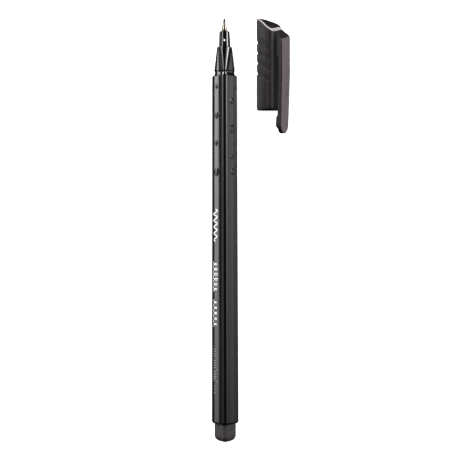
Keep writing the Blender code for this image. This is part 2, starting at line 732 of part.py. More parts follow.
def main():
    clear_scene()
    parts = new_collection("technical_pen")
    cutters = new_collection("technical_pen_cutters")
    looks = {
        "barrel": new_material("gloss_black_plastic", (0.012, 0.012, 0.013), 0.12),
        "satin": new_material("satin_black_plastic", (0.045, 0.040, 0.040), 0.38),
        "metal": new_material("polished_nickel", (0.78, 0.76, 0.70), 0.15, 1.0),
        "nib": new_material("inked_fibre", (0.008, 0.008, 0.010), 0.6),
        "carrier": new_material("white_plastic", (0.85, 0.84, 0.80), 0.35),
        "fibre": new_material("ink_soaked_fibre", (0.03, 0.03, 0.04), 0.9),
        "film": new_material("clear_film", (0.80, 0.80, 0.82), 0.25),
    }
    build_pen(parts, cutters, looks)
    build_cap(parts, cutters, looks)


main()
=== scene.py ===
"""Finished look of a fineliner technical pen that lies beside its cap.

The pen points along +Y and lies on one flat of its rounded-triangular barrel. The cap lies to its
right on the matching flat, mouth towards -Y. Sizes are in millimetres here, and metres in the
meshes and in the panel's properties.
"""

import json
import math

import bmesh
import bpy
from bpy.props import FloatProperty, FloatVectorProperty, IntProperty, PointerProperty
from mathutils import Matrix, Vector


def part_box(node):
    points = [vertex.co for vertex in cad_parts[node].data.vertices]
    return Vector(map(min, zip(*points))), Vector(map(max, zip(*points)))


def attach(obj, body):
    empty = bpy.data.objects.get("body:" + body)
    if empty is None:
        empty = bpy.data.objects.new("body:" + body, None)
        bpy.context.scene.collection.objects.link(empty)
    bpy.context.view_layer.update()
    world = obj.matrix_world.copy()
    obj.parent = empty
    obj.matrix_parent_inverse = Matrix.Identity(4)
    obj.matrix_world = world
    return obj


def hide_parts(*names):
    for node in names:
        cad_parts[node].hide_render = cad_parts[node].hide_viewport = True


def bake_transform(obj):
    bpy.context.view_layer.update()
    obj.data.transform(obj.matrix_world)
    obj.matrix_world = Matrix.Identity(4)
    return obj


bl_info = {
    "name": "Fineliner Technical Pen",
    "version": (1, 0, 0),
    "blender": (4, 5, 0),
    "location": "3D View > Sidebar > Technical Pen",
    "description": "Builds a fineliner technical pen, its cap and a plain studio around the CAD frame",
    "category": "Object",
}

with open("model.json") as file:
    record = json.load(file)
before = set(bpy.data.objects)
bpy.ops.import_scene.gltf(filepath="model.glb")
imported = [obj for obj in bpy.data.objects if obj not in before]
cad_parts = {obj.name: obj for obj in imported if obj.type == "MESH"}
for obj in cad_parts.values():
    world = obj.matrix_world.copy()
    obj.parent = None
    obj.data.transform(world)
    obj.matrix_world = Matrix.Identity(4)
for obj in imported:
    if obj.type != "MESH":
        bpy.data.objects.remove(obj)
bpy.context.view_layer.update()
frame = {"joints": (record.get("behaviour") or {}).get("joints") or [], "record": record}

MM = 0.001

# Rounded-triangular sections: distance of the flats from the axis, and radius of the corners.
FRONT_FLAT = 3.40
FRONT_CORNER = 1.92
REAR_FLAT = 3.61
REAR_CORNER = 1.88
FLAT_ANGLE = math.radians(30.0)
CORNER_ANGLES = (90.0, 210.0, 330.0)
BARREL_BOW = 30.0
BOWED_CORNER_CUT = 0.22
CONE_BOW = 12.0
CONE_CORNER_CUT = 0.3

# Pen stations, measured back from the tip of the nib.
PEN_LENGTH = 150.0
FERRULE_FRONT = 1.17
FERRULE_BASE = 4.45
FERRULE_REAR = 9.0
NOSE_FRONT = 4.5
CONE_FRONT = 10.15
CONE_REAR = 18.5
BARREL_FRONT = 20.14
BARREL_REAR = 143.6
PLUG_FRONT = 136.5
SPIGOT_REAR = 29.4
NIB_REAR = 38.0
RESERVOIR_FRONT = 30.5
RESERVOIR_REAR = 135.0
VENT_STATION = 7.9
BARREL_WALL = 0.75
PRESS_GAP = 0.06

# Raised domes on the two upper flats: station, offset towards the ridge, radius.
LEFT_DOMES = ((24.2, 0.3, 0.9), (34.5, 0.3, 1.25), (44.2, 0.2, 1.05), (54.5, 0.3, 1.55))
RIGHT_DOMES = (
    (24.8, -0.7, 0.7), (29.4, 0.7, 1.15), (39.4, 0.6, 1.55),
    (44.3, -0.7, 0.62), (49.2, 0.9, 0.8), (54.4, 0.0, 1.3),
)

# Cap heights, measured from its mouth.
CAP_WALL = 0.68
WEB_BOTTOM = 23.0
WEB_TOP = 24.2
WEB_HOLE = 2.08
END_HEIGHT = 31.0
END_SLOPE = 0.62
END_CURVATURE = 0.04
RIB_DROP = 3.7
RIB_FIRST = 12.95
RIB_COUNT = 4
FINE_LIMIT = 0.27
CLIP_ROOT_OUTER = 6.85
CLIP_TIP_OUTER = 6.42
CLIP_THICKNESS = 1.55
CLIP_WIDTH = 6.4
CLIP_TIP_WIDTH = 6.0


def joint_place(name):
    """Place of a hinge in the row frame, in metres."""
    return next(Vector(joint["pos_m"]) for joint in frame["joints"] if joint["name"] == name)


def mount_place(name):
    return next(Vector(mount["pos_m"]) for mount in frame["record"]["mounts"] if mount["name"] == name)


TILT = math.atan((REAR_FLAT - FRONT_FLAT) / (BARREL_REAR - BARREL_FRONT))
MIDDLE_SHARE = (PEN_LENGTH / 2 - BARREL_FRONT) / (BARREL_REAR - BARREL_FRONT)
MIDDLE_HEIGHT = (FRONT_FLAT + (REAR_FLAT - FRONT_FLAT) * MIDDLE_SHARE) / math.cos(TILT)
PEN_UP = Vector((0.0, math.sin(TILT), math.cos(TILT)))
PEN_FORWARD = Vector((0.0, math.cos(TILT), -math.sin(TILT)))
CAP_ORIGIN = Vector((mount_place("cap_rest").x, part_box("cap_shell")[0].y, FRONT_FLAT * MM))
CLIP_TIP = (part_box("cap_clip")[0].y - CAP_ORIGIN.y) / MM
CLIP_PIVOT = joint_place("clip_flex")
CLIP_ROOT = (CLIP_PIVOT.y - CAP_ORIGIN.y) / MM


# --- panel properties ---

def length(name, description, millimetres):
    return FloatProperty(
        name=name, description=description, default=millimetres * MM,
        unit="LENGTH", subtype="DISTANCE", precision=5)


def colour(name, description, value):
    return FloatVectorProperty(name=name, description=description, default=value, size=3, subtype="COLOR")


def strength(name, description, value):
    return FloatProperty(name=name, description=description, default=value, min=0.0)


class PenSizes(bpy.types.PropertyGroup):
    """Fine sizes of the pen that the CAD leaves plain."""
    front_rim: length("Front rim", "Rounding of the barrel's front rim", 0.34)
    rear_chamfer: length("Rear chamfer", "Length of the barrel's rear chamfer", 0.62)
    dome_height: length("Dome height", "Height of the raised domes", 0.26)
    mark_thickness: length("Ink thickness", "Thickness of the printed marks", 0.014)
    vent_radius: length("Vent radius", "Radius of the breather hole in the nose", 0.34)


class CapSizes(bpy.types.PropertyGroup):
    """Fine sizes of the cap."""
    rib_depth: length("Rib depth", "Depth of the notches between the grip ribs", 0.36)
    rib_period: length("Rib period", "Distance from one grip rib to the next", 3.65)
    line_depth: length("Line depth", "Depth of the fine lines between the ribs", 0.20)
    panel_depth: length("Panel depth", "Depth of the panel that the ribs stand in", 0.06)
    clip_fillet: length("Clip fillet", "Rounding of the clip's long outer edges", 0.6)
    hatch_depth: length("Hatch depth", "Depth of the engraved hatch on the clip", 0.13)
    hatch_count: IntProperty(
        name="Hatch bars", description="Engraved bars on the clip", default=9, min=1, max=20)


class PenColours(bpy.types.PropertyGroup):
    """Colours of the pen's finishes; the rim colour paints a highlight on the cap's rim chamfer, and the
    clip colour paints the clip's outer face paler as if lit.
    """
    gloss: colour("Gloss plastic", "Barrel and nose", (0.0012, 0.0012, 0.0013))
    satin: colour("Satin plastic", "Cap shell and inner cap", (0.0075, 0.0060, 0.0062))
    # rim: paler colour painted on the outer chamfer of the cap's slanted end as a highlight
    rim: colour("Rim", "Painted highlight on the chamfer of the cap's slanted end", (0.22, 0.20, 0.20))
    # clip: the clip's outer face painted paler than the cap's satin, as if lit; its flanks keep the satin
    # colour
    clip: colour("Clip", "Clip's outer face painted paler as if lit", (0.060, 0.049, 0.052))
    plug: colour("Rear plug", "Slightly paler satin plastic", (0.020, 0.017, 0.0175))
    nickel: colour("Ferrule", "Plated ferrule", (0.13, 0.12, 0.095))
    nib: colour("Nib", "Inked fibre", (0.006, 0.006, 0.008))
    carrier: colour("Carrier", "White inner moulding", (0.82, 0.81, 0.77))
    reservoir: colour("Reservoir", "Ink-soaked fibre", (0.020, 0.020, 0.030))
    film: colour("Film", "Clear wrap", (0.80, 0.80, 0.82))
    print_white: colour("Print", "White printed marks", (0.72, 0.72, 0.70))
    print_grey: colour("Small print", "Grey printed marks", (0.22, 0.22, 0.22))


class StudioSettings(bpy.types.PropertyGroup):
    """Light and camera."""
    floor: colour("Floor", "Plain pale floor", (0.80, 0.80, 0.80))
    glow: strength("Floor glow", "Light of the floor panel itself", 0.92)
    key: strength("Key light", "Radiance of the soft key light", 40.0)
    fill: strength("Fill light", "Strength of the surrounding light", 0.04)
    roll: FloatProperty(
        name="Camera roll", description="Turn of the camera", default=-0.0020, subtype="ANGLE")
    camera_height: length("Camera height", "Height of the camera above the floor", 550.0)
    view_width: length("View width", "Width seen at the pen's middle height", 163.1)
    camera_shift: length("Camera place", "Distance of the camera right of the pen's axis", 1.84)


# --- shader expressions ---

class Wire:
    """A shader socket that takes part in Python arithmetic."""

    def __init__(self, graph, socket):
        self.graph = graph
        self.socket = socket

    def math(self, operation, *operands, **settings):
        settings["operation"] = operation
        return self.graph.node("ShaderNodeMath", settings, dict(enumerate(operands)))

    def __add__(self, other):
        return self.math("ADD", self, other)

    def __sub__(self, other):
        return self.math("SUBTRACT", self, other)

    def __rsub__(self, other):
        return self.math("SUBTRACT", other, self)

    def __mul__(self, other):
        return self.math("MULTIPLY", self, other)

    def __gt__(self, other):
        return self.math("GREATER_THAN", self, other)

    def __pow__(self, other):
        return self.math("POWER", self, other)

    __radd__ = __add__
    __rmul__ = __mul__

    def sine(self):
        return self.math("SINE", self)

    def clamped(self):
        return self.math("ADD", self, 0.0, use_clamp=True)


class Graph:
    """A node tree that expressions add their nodes to."""

    def __init__(self, tree):
        self.tree = tree

    def node(self, kind, settings=None, values=None, output=0):
        """Add a node: settings first, then the values or links of its sockets."""
        made = self.tree.nodes.new(kind)
        for name, value in (settings or {}).items():
            setattr(made, name, value)
        self.feed(made, values or {})
        return Wire(self, made.outputs[output])

    def feed(self, made, values):
        for name, value in values.items():
            if isinstance(value, Wire):
                self.tree.links.new(value.socket, made.inputs[name])
            else:
                made.inputs[name].default_value = value


class Shader(Graph):
    """A new material whose Principled shader is fed by expressions."""

    def __init__(self, name):
        self.material = bpy.data.materials.new(name)
        self.material.use_nodes = True
        super().__init__(self.material.node_tree)

    def place(self, stretch=(1.0, 1.0, 1.0)):
        """Place on the piece, in millimetres, stretched along each axis."""
        spot = self.node("ShaderNodeTexCoord", output="Object")
        scale = Vector(stretch) / MM
        return self.node("ShaderNodeVectorMath", {"operation": "MULTIPLY"}, {0: spot, 1: scale})

    def noise(self, scale, detail=2.0, stretch=(1.0, 1.0, 1.0)):
        """Cloudy noise from 0 to 1, with scale in cycles per millimetre."""
        values = {"Vector": self.place(stretch), "Scale": scale, "Detail": detail}
        return self.node("ShaderNodeTexNoise", None, values)

    def mix(self, factor, a, b):
        """Blend of two colours."""
        return self.node(
            "ShaderNodeMix", {"data_type": "RGBA"}, {0: factor, 6: opaque(a), 7: opaque(b)}, output=2)

    def bump(self, height, depth):
        """Normal of a surface whose height runs from 0 to depth millimetres."""
        return self.node("ShaderNodeBump", None, {"Height": height, "Distance": depth * MM, "Strength": 1.0})

    def finish(self, **values):
        principled = self.tree.nodes["Principled BSDF"]
        self.feed(principled, {name.replace("_", " "): value for name, value in values.items()})
        return self.material


def opaque(value):
    return value if isinstance(value, Wire) else (*value, 1.0)


def scaled(value, factor):
    return tuple(channel * factor for channel in value)


def gloss_plastic(tint):
    """Polished black moulding: slow waviness, faint handling smears and a few specks of dust."""
    shader = Shader("gloss_black_plastic")
    smear = shader.noise(0.35, 4.0, (1.0, 0.12, 1.0))
    cloud = shader.noise(0.12, 3.0)
    speck = shader.noise(7.0, 0.0) > 0.79
    waviness = shader.noise(0.16, 1.0, (1.0, 0.25, 1.0))
    return shader.finish(
        Base_Color=shader.mix(speck * 0.35 + cloud * 0.4, tint, scaled(tint, 2.2)),
        Roughness=(smear - 0.45) * 0.10 + 0.085 + speck * 0.25,
        Normal=shader.bump(waviness + speck * 0.1, 0.02),
        IOR=1.5,
    )


def satin_plastic(name, tint, shine=0.14, painted_light_split=None):
    """Spark-eroded moulding: fine even grain with slightly polished patches; faces marked in an attribute
    take a second colour, which paints a highlight on the cap's rim chamfer, or keeps the clip's flanks at
    the satin colour beside its outer face painted paler as if lit.
    """
    shader = Shader(name)
    grain = shader.noise(7.0, 3.0)
    rub = shader.noise(0.5, 3.0)
    body = shader.mix(rub * 0.6 + grain * 0.4, scaled(tint, 0.75), scaled(tint, 1.25))
    # The face attribute splits painted light: it picks the rim chamfer for a painted highlight, and the
    # clip's flanks apart from its face painted paler as if lit.
    if painted_light_split is not None:
        side = shader.node("ShaderNodeAttribute", {"attribute_name": "painted_light_split"}, None, "Fac")
        body = shader.mix(side, body, painted_light_split)
    return shader.finish(
        Base_Color=body,
        Roughness=0.52 - rub * 0.14,
        Normal=shader.bump(grain, 0.010),
        Specular_IOR_Level=shine,
    )


def turned_nickel(tint):
    """Bright plated metal with fine turning rings round the pen's axis."""
    shader = Shader("polished_nickel")
    along = shader.node("ShaderNodeSeparateXYZ", None, {0: shader.place()}, output="Y")
    rings = (along * 60.0).sine() * 0.5 + 0.5
    tarnish = shader.noise(0.9, 4.0)
    return shader.finish(
        Base_Color=shader.mix(tarnish, tint, scaled(tint, 0.86)),
        Roughness=tarnish * 0.08 + 0.13,
        Normal=shader.bump(rings, 0.0012),
        Metallic=1.0,
    )


def fibre(name, tint, paler, streaks):
    """Bonded fibres that run along the piece."""
    shader = Shader(name)
    strands = shader.noise(streaks, 3.0, (1.0, 0.06, 1.0))
    return shader.finish(
        Base_Color=shader.mix(strands ** 2.0, tint, paler),
        Roughness=strands * 0.3 + 0.55,
        Normal=shader.bump(strands, 0.03),
        Specular_IOR_Level=0.0,
    )


def white_plastic(tint):
    shader = Shader("white_plastic")
    cloud = shader.noise(0.6, 3.0)
    return shader.finish(
        Base_Color=shader.mix(cloud, scaled(tint, 0.93), tint),
        Roughness=cloud * 0.15 + 0.28,
        Normal=shader.bump(shader.noise(4.0, 2.0), 0.004),
        Subsurface_Weight=0.05,
        Subsurface_Scale=0.001,
    )


def clear_film(tint):
    shader = Shader("clear_film")
    creases = shader.noise(0.8, 4.0, (1.0, 0.2, 1.0))
    return shader.finish(
        Base_Color=shader.mix(creases, scaled(tint, 0.9), tint),
        Roughness=creases * 0.2 + 0.12,
        Normal=shader.bump(creases, 0.05),
        Transmission_Weight=0.9,
        IOR=1.4,
    )


def printed_ink(name, tint):
    """Pad-printed ink: slightly mottled, thin in places where a hand has rubbed it."""
    shader = Shader(name)
    mottle = shader.noise(3.5, 3.0)
    worn = ((shader.noise(1.3, 4.0) - 0.60) * 6.0).clamped()
    return shader.finish(
        Base_Color=shader.mix(mottle * 0.35 + worn * 0.5, tint, scaled(tint, 0.45)),
        Roughness=mottle * 0.2 + 0.42,
        Normal=shader.bump(mottle, 0.004),
    )


# --- mesh tools ---

def blend_values(a, b, share):
    return a + (b - a) * share


def at(station):
    """Distance of a pen station ahead of the pen's middle."""
    return PEN_LENGTH / 2 - station


def pen_point(x, up, along):
    """Row-frame place of a point of the pen: across, up, and ahead of its middle."""
    return Vector((x * MM, 0.0, MIDDLE_HEIGHT * MM)) + (PEN_UP * up + PEN_FORWARD * along) * MM


def cap_point(x, up, height):
    """Row-frame place of a point of the cap: across, up, and above its mouth."""
    return CAP_ORIGIN + Vector((x, height, up)) * MM


def triangle(flat, corner, arc=20, run=1):
    """Rounded triangle as (across, up) points: ridge up, one flat straight down."""
    centre = 2 * (flat - corner)
    arcs = [arc_points(polar(centre, middle), corner, middle - 60.0, middle + 60.0, arc)
            for middle in CORNER_ANGLES]
    points = []
    for current, following in zip(arcs, arcs[1:] + arcs[:1]):
        points += current
        points += [current[-1].lerp(following[0], step / run) for step in range(1, run)]
    return points


def bowed_triangle(flat, corner, bow, arc=24, run=16):
    """Rounded triangle whose flats are arcs of a large radius, bow, that meet the corners smoothly."""
    far = bow - flat
    centre = (math.sqrt(far * far + 4 * ((bow - corner) ** 2 - far * far)) - far) / 2
    half = math.degrees(math.asin(centre * math.sin(math.radians(60.0)) / (bow - corner)))
    points = []
    for middle in CORNER_ANGLES:
        hub = polar(centre, middle)
        points += arc_points(hub, corner, middle - 60.0 + half, middle + 60.0 - half, arc)
        normal = middle + 60.0
        points += arc_points(polar(-far, normal), bow, normal - half, normal + half, run)[1:-1]
    return points


def polar(distance, degrees):
    return Vector((math.cos(math.radians(degrees)), math.sin(math.radians(degrees)))) * distance


def arc_points(hub, radius, first, last, steps):
    return [hub + polar(radius, blend_values(first, last, step / steps)) for step in range(steps + 1)]


def nearly_round(radius, arc=20, run=1):
    """Circle with the points of a rounded triangle."""
    return triangle(radius, radius * 0.985, arc, run)


def circle(radius, steps):
    return arc_points(Vector((0.0, 0.0)), radius, 0.0, 360.0, steps)[:-1]


def level(section, height):
    return [(point[0], point[1], height) for point in section]


def soften(outline, reach, closed=False, steps=3):
    """Outline with its corners turned into short curves."""
    points = [Vector(point) for point in outline]
    if closed:
        triples = list(zip(points[-1:] + points[:-1], points, points[1:] + points[:1]))
        result = []
    else:
        triples = list(zip(points, points[1:], points[2:]))
        result = [points[0]]
    for before, corner, after in triples:
        back, ahead = before - corner, after - corner
        start = corner + back.normalized() * min(reach, back.length * 0.45)
        end = corner + ahead.normalized() * min(reach, ahead.length * 0.45)
        for step in range(steps + 1):
            t = step / steps
            result.append(start * (1 - t) ** 2 + corner * 2 * t * (1 - t) + end * t * t)
    if not closed:
        result.append(points[-1])
    return result


def new_piece(name, bm):
    """Object from a bmesh, with its faces pointing out."""
    bmesh.ops.recalc_face_normals(bm, faces=bm.faces)
    mesh = bpy.data.meshes.new(name)
    bm.to_mesh(mesh)
    bm.free()
    piece = bpy.data.objects.new(name, mesh)
    bpy.context.scene.collection.objects.link(piece)
    return piece


def add_skin(bm, rings, place, joined=False):
    """Skin rings of equal length, or single points, inside a bmesh."""
    loops = [[bm.verts.new(place(*point)) for point in ring] for ring in rings]
    pairs = list(zip(loops, loops[1:]))
    if joined:
        pairs.append((loops[-1], loops[0]))
    for lower, upper in pairs:
        for i in range(max(len(lower), len(upper))):
            j = i + 1
            corners = (
                lower[i % len(lower)], lower[j % len(lower)],
                upper[j % len(upper)], upper[i % len(upper)],
            )
            bm.faces.new(list(dict.fromkeys(corners)))
    for end in (() if joined else (loops[0], loops[-1])):
        if len(end) > 1:
            bm.faces.new(end)


def skin(name, rings, place, joined=False):
    bm = bmesh.new()
    add_skin(bm, rings, place, joined)
    return new_piece(name, bm)


def lens(radius, thickness, limit, stride, steps):
    """Rings of a lens from its lower pole to its upper one."""
    rings = [[(0.0, 0.0, -thickness)]]
    for degrees in range(-limit, limit + 1, stride):
        angle = math.radians(degrees)
        rings.append(level(circle(radius * math.cos(angle), steps), thickness * math.sin(angle)))
    return rings + [[(0.0, 0.0, thickness)]]


def turned(name, outline, place, hollow=True, steps=72):
    """Body of revolution from (radius, along) points; a hollow one joins its last point to its first."""
    rings = [level(circle(radius, steps), along) if radius > 0.0 else [(0.0, 0.0, along)]
             for radius, along in outline]
    return skin(name, rings, place, joined=hollow)


def carve(piece, tool, operation="DIFFERENCE"):
    """Apply an exact Boolean with a tool, then throw the tool away."""
    modifier = piece.modifiers.new(operation.lower(), "BOOLEAN")
    modifier.operation = operation
    modifier.solver = "EXACT"
    modifier.object = tool
    bpy.context.view_layer.update()
    evaluated = piece.evaluated_get(bpy.context.evaluated_depsgraph_get())
    shape = bpy.data.meshes.new_from_object(evaluated)
    piece.modifiers.clear()
    piece.data = shape
    bpy.data.objects.remove(tool, do_unlink=True)
    return piece


def dress(piece, material, sharp=32.0):
    """Material and smooth shading, with flats kept flat and edges kept crisp."""
    piece.data.materials.clear()
    piece.data.materials.append(material)
    piece.data.shade_smooth()
    piece.data.set_sharp_from_angle(angle=math.radians(sharp))
    weigh = piece.modifiers.new("even_shading", "WEIGHTED_NORMAL")
    weigh.keep_sharp = True
    return piece


# --- pen ---

def barrel_share(station):
    return (station - BARREL_FRONT) / (BARREL_REAR - BARREL_FRONT)


def barrel_flat(station):
    return blend_values(FRONT_FLAT, REAR_FLAT, barrel_share(station))


def barrel_ring(inset, station):
    corner = blend_values(FRONT_CORNER, REAR_CORNER, barrel_share(station)) - BOWED_CORNER_CUT
    section = bowed_triangle(barrel_flat(station) - inset, corner - inset, BARREL_BOW - inset)
    return level(section, at(station))


def facet_axes(side):
    """Outward normal and direction towards the ridge of an upper flat, as (across, up)."""
    normal = Vector((side * math.cos(FLAT_ANGLE), math.sin(FLAT_ANGLE)))
    uphill = Vector((-side * math.sin(FLAT_ANGLE), math.cos(FLAT_ANGLE)))
    return normal, uphill


def facet_point(side, station, offset, lift):
    """Point on an upper flat of the barrel, in the pen's (across, up, along)."""
    normal, uphill = facet_axes(side)
    sag = BARREL_BOW - math.sqrt(BARREL_BOW ** 2 - offset * offset)
    spot = normal * (barrel_flat(station) - sag + lift) + uphill * offset
    return spot.x, spot.y, at(station)


def dome_tool(height):
    """Raised domes as lens shapes sunk half into the two upper flats."""
    bm = bmesh.new()
    for side, domes in ((-1.0, LEFT_DOMES), (1.0, RIGHT_DOMES)):
        for station, offset, radius in domes:
            def place(across, up, lift):
                return pen_point(*facet_point(side, station - up, offset + across, lift))
            add_skin(bm, lens(radius, height, limit=70, stride=14, steps=40), place)
    return new_piece("dome_tool", bm)


def build_barrel(sizes, material):
    rim = sizes.front_rim / MM
    chamfer = sizes.rear_chamfer / MM
    depth = 0.36
    outline = soften([
        (BARREL_WALL, BARREL_FRONT),
        (rim, BARREL_FRONT),
        (0.0, BARREL_FRONT + rim),
        (0.0, BARREL_REAR - chamfer),
        (depth, BARREL_REAR),
        (BARREL_WALL, BARREL_REAR),
    ], 0.12, closed=True)
    piece = skin("barrel_skin", [barrel_ring(*point) for point in outline], pen_point, joined=True)
    carve(piece, dome_tool(sizes.dome_height / MM), "UNION")
    dress(piece, material, sharp=14.0)
    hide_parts("barrel")
    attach(piece, "pen")


# Printed marks on the left flat: distances run down the pen from each mark's start, and up the flat.

def ribbon(bm, path, width, start, thickness):
    """Printed line of a given width along (down, offset) points of the left flat."""
    points = [Vector(point) for point in path]
    sides = []
    for i, point in enumerate(points):
        ahead = points[min(i + 1, len(points) - 1)]
        behind = points[max(i - 1, 0)]
        across = (ahead - behind).normalized().orthogonal() * width / 2
        sides.append((point + across, point - across))
    rings = []
    for left, right in sides:
        corners = ((left, thickness), (right, thickness), (right, -thickness), (left, -thickness))
        rings.append([facet_point(-1.0, start + spot.x, spot.y, lift) for spot, lift in corners])
    add_skin(bm, rings, pen_point)


def wave_path(run, base, height, decay, cycles):
    steps = cycles * 24
    path = []
    for step in range(steps + 1):
        t = step / steps
        swing = math.sin(2 * math.pi * cycles * t) * height / 2 * (1.0 - decay * t)
        path.append((run * t, base + swing))
    return path


def coil_path(run, base, radius, turns, rise):
    """Looping pen stroke, as when a nib is tried out; the loops grow by rise and shrink again."""
    steps = turns * 28
    path = []
    for step in range(steps + 1):
        t = step / steps
        angle = 2 * math.pi * turns * t
        size = radius * (1.0 + rise * math.sin(math.pi * t))
        path.append((run * t + size * 0.55 * math.sin(angle), base + size * (1.0 - math.cos(angle))))
    return path


def disc_path(centre, radius):
    return [(centre[0] + radius * math.cos(a), centre[1] + radius * math.sin(a))
            for a in (2 * math.pi * step / 20 for step in range(21))]


def build_marks(sizes, white, grey):
    """Generic marks on the left flat: a wave, two rows of loops and a small scale."""
    thickness = sizes.mark_thickness / MM
    wave_width, loop_width = 0.34, 0.23
    bm = bmesh.new()
    ribbon(bm, wave_path(11.4, -0.5, 2.9, 0.3, 5), wave_width, 67.6, thickness)
    new_mark("print_sample", bm, white)
    bm = bmesh.new()
    ribbon(bm, coil_path(10.6, -2.0, 1.1, 6, 0.3), loop_width, 86.2, thickness)
    ribbon(bm, coil_path(9.6, -2.0, 1.0, 5, 0.2), loop_width, 99.6, thickness)
    new_mark("print_loops", bm, white)
    scale_start, foot = 116.4, -2.0
    bm = bmesh.new()
    for tick in range(16):
        height = 2.6 if tick % 5 == 0 else 1.6
        path = [(tick * 0.8, foot), (tick * 0.8, foot + height)]
        ribbon(bm, path, 0.13 + tick * 0.012, scale_start, thickness)
    for dot in range(3):
        ribbon(bm, disc_path((13.8 + dot * 1.2, -1.2), 0.14 + dot * 0.08), 0.16, scale_start, thickness)
    new_mark("print_scale", bm, grey)


def new_mark(name, bm, material):
    piece = dress(new_piece(name, bm), material)
    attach(piece, "pen")


def nose_outline():
    """(flat, corner, station) points from the spigot's end, forward over the cone, to the nose's front."""
    spigot = FRONT_FLAT - BARREL_WALL - PRESS_GAP
    spigot_corner = FRONT_CORNER - BARREL_WALL - PRESS_GAP
    seat = BARREL_FRONT - PRESS_GAP
    neck, neck_corner = 2.66, 1.20
    return [
        (spigot - 0.2, spigot_corner - 0.2, SPIGOT_REAR),
        (spigot, spigot_corner, SPIGOT_REAR - 0.4),
        (spigot, spigot_corner, seat + 0.05),
        (2.95, 1.54, seat),
        (neck, neck_corner, BARREL_FRONT - 0.8),
        (neck, neck_corner, CONE_REAR + 0.3),
        (2.85, 1.30, CONE_REAR),
        (2.66, 2.62, CONE_FRONT + 0.2),
        (2.52, 2.48, CONE_FRONT),
        (2.08, 2.05, CONE_FRONT - 0.02),
        (1.85, 1.82, NOSE_FRONT + 0.25),
        (1.55, 1.53, NOSE_FRONT),
    ]


def nose_bore():
    """Stepped bore, wider towards the rear: radii of its mouth, nose, cone and spigot."""
    mouth, nose, cone, spigot = 1.0, 1.4, 1.9, 2.15
    return [
        (0.0, at(NOSE_FRONT - 1.0)), (mouth, at(NOSE_FRONT - 1.0)),
        (mouth, at(NOSE_FRONT + 0.7)), (nose, at(NOSE_FRONT + 0.7)),
        (nose, at(CONE_FRONT + 0.1)), (cone, at(CONE_FRONT + 0.1)),
        (cone, at(CONE_REAR - 0.5)), (spigot, at(CONE_REAR)),
        (spigot, at(SPIGOT_REAR + 1.0)), (0.0, at(SPIGOT_REAR + 1.0)),
    ]


def vent_place(across, along, up):
    """Row-frame place round the breather hole, whose axis stands upright."""
    return pen_point(across, up, at(VENT_STATION) + along)


def build_nose(sizes, material):
    outline = soften(nose_outline(), 0.07)
    rings = []
    for flat, corner, station in outline:
        cut = CONE_CORNER_CUT * min(1.0, (flat - corner) / CONE_CORNER_CUT / 4)
        rings.append(level(bowed_triangle(flat, corner - cut, CONE_BOW), at(station)))
    piece = skin("nose_skin", rings, pen_point)
    carve(piece, turned("nose_bore", nose_bore(), pen_point, hollow=False))
    radius = sizes.vent_radius / MM
    vent = [(0.0, 1.0), (radius, 1.0), (radius, 1.93), (radius + 0.12, 2.1), (0.0, 2.1)]
    carve(piece, turned("vent_tool", vent, vent_place, hollow=False, steps=32))
    dress(piece, material, sharp=20.0)
    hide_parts("nose_section")
    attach(piece, "pen")


def build_ferrule(material):
    foot, shank, bore, mouth = 1.03, 0.94, 0.76, 0.46
    outline = soften([
        (0.49, at(FERRULE_FRONT)), (0.56, at(FERRULE_FRONT + 0.08)), (0.67, at(2.1)), (0.71, at(2.2)),
        (0.97, at(FERRULE_BASE - 0.55)), (foot, at(FERRULE_BASE - 0.45)), (foot, at(FERRULE_BASE)),
        (shank, at(FERRULE_BASE + 0.02)), (shank, at(FERRULE_REAR)), (bore, at(FERRULE_REAR)),
        (bore, at(3.9)), (mouth, at(1.9)), (mouth, at(FERRULE_FRONT)),
    ], 0.04, closed=True)
    piece = dress(turned("ferrule_skin", outline, pen_point), material)
    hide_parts("tip_ferrule")
    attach(piece, "pen")


def build_nib(material):
    tip, wick = 0.44, 0.66
    outline = [(0.0, at(0.0))]
    for degrees in range(15, 91, 15):
        angle = math.radians(degrees)
        outline.append((tip * math.sin(angle), at(tip * (1.0 - math.cos(angle)))))
    outline += [(tip, at(1.9)), (wick, at(4.1)), (wick, at(NIB_REAR - 0.4)), (0.41, at(NIB_REAR))]
    outline.append((0.0, at(NIB_REAR)))
    piece = dress(turned("nib_skin", outline, pen_point, hollow=False, steps=40), material)
    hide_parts("fibre_nib")
    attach(piece, "pen")


def build_carrier(material):
    front, step, rear, seat = NOSE_FRONT + 0.8, CONE_FRONT + 0.3, CONE_REAR - 1.5, FERRULE_REAR + 0.2
    slim, broad, socket, bore = 1.33, 1.8, 1.03, 0.78
    outline = soften([
        (socket, at(front)), (slim, at(front)), (slim, at(step)), (broad, at(step)),
        (broad, at(rear)), (bore, at(rear)), (bore, at(seat)), (socket, at(seat)),
    ], 0.1, closed=True)
    piece = dress(turned("carrier_skin", outline, pen_point), material)
    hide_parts("tip_carrier")
    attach(piece, "pen")


def build_vent_bead(sizes, material):
    """Porous white bead that shows in the nose's breather hole."""
    radius = sizes.vent_radius / MM - 0.02
    outline = soften([(0.0, 1.36), (radius, 1.36), (radius, 1.93), (0.0, 1.95)], 0.05)
    piece = dress(turned("vent_bead", outline, vent_place, hollow=False, steps=32), material)
    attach(piece, "pen")


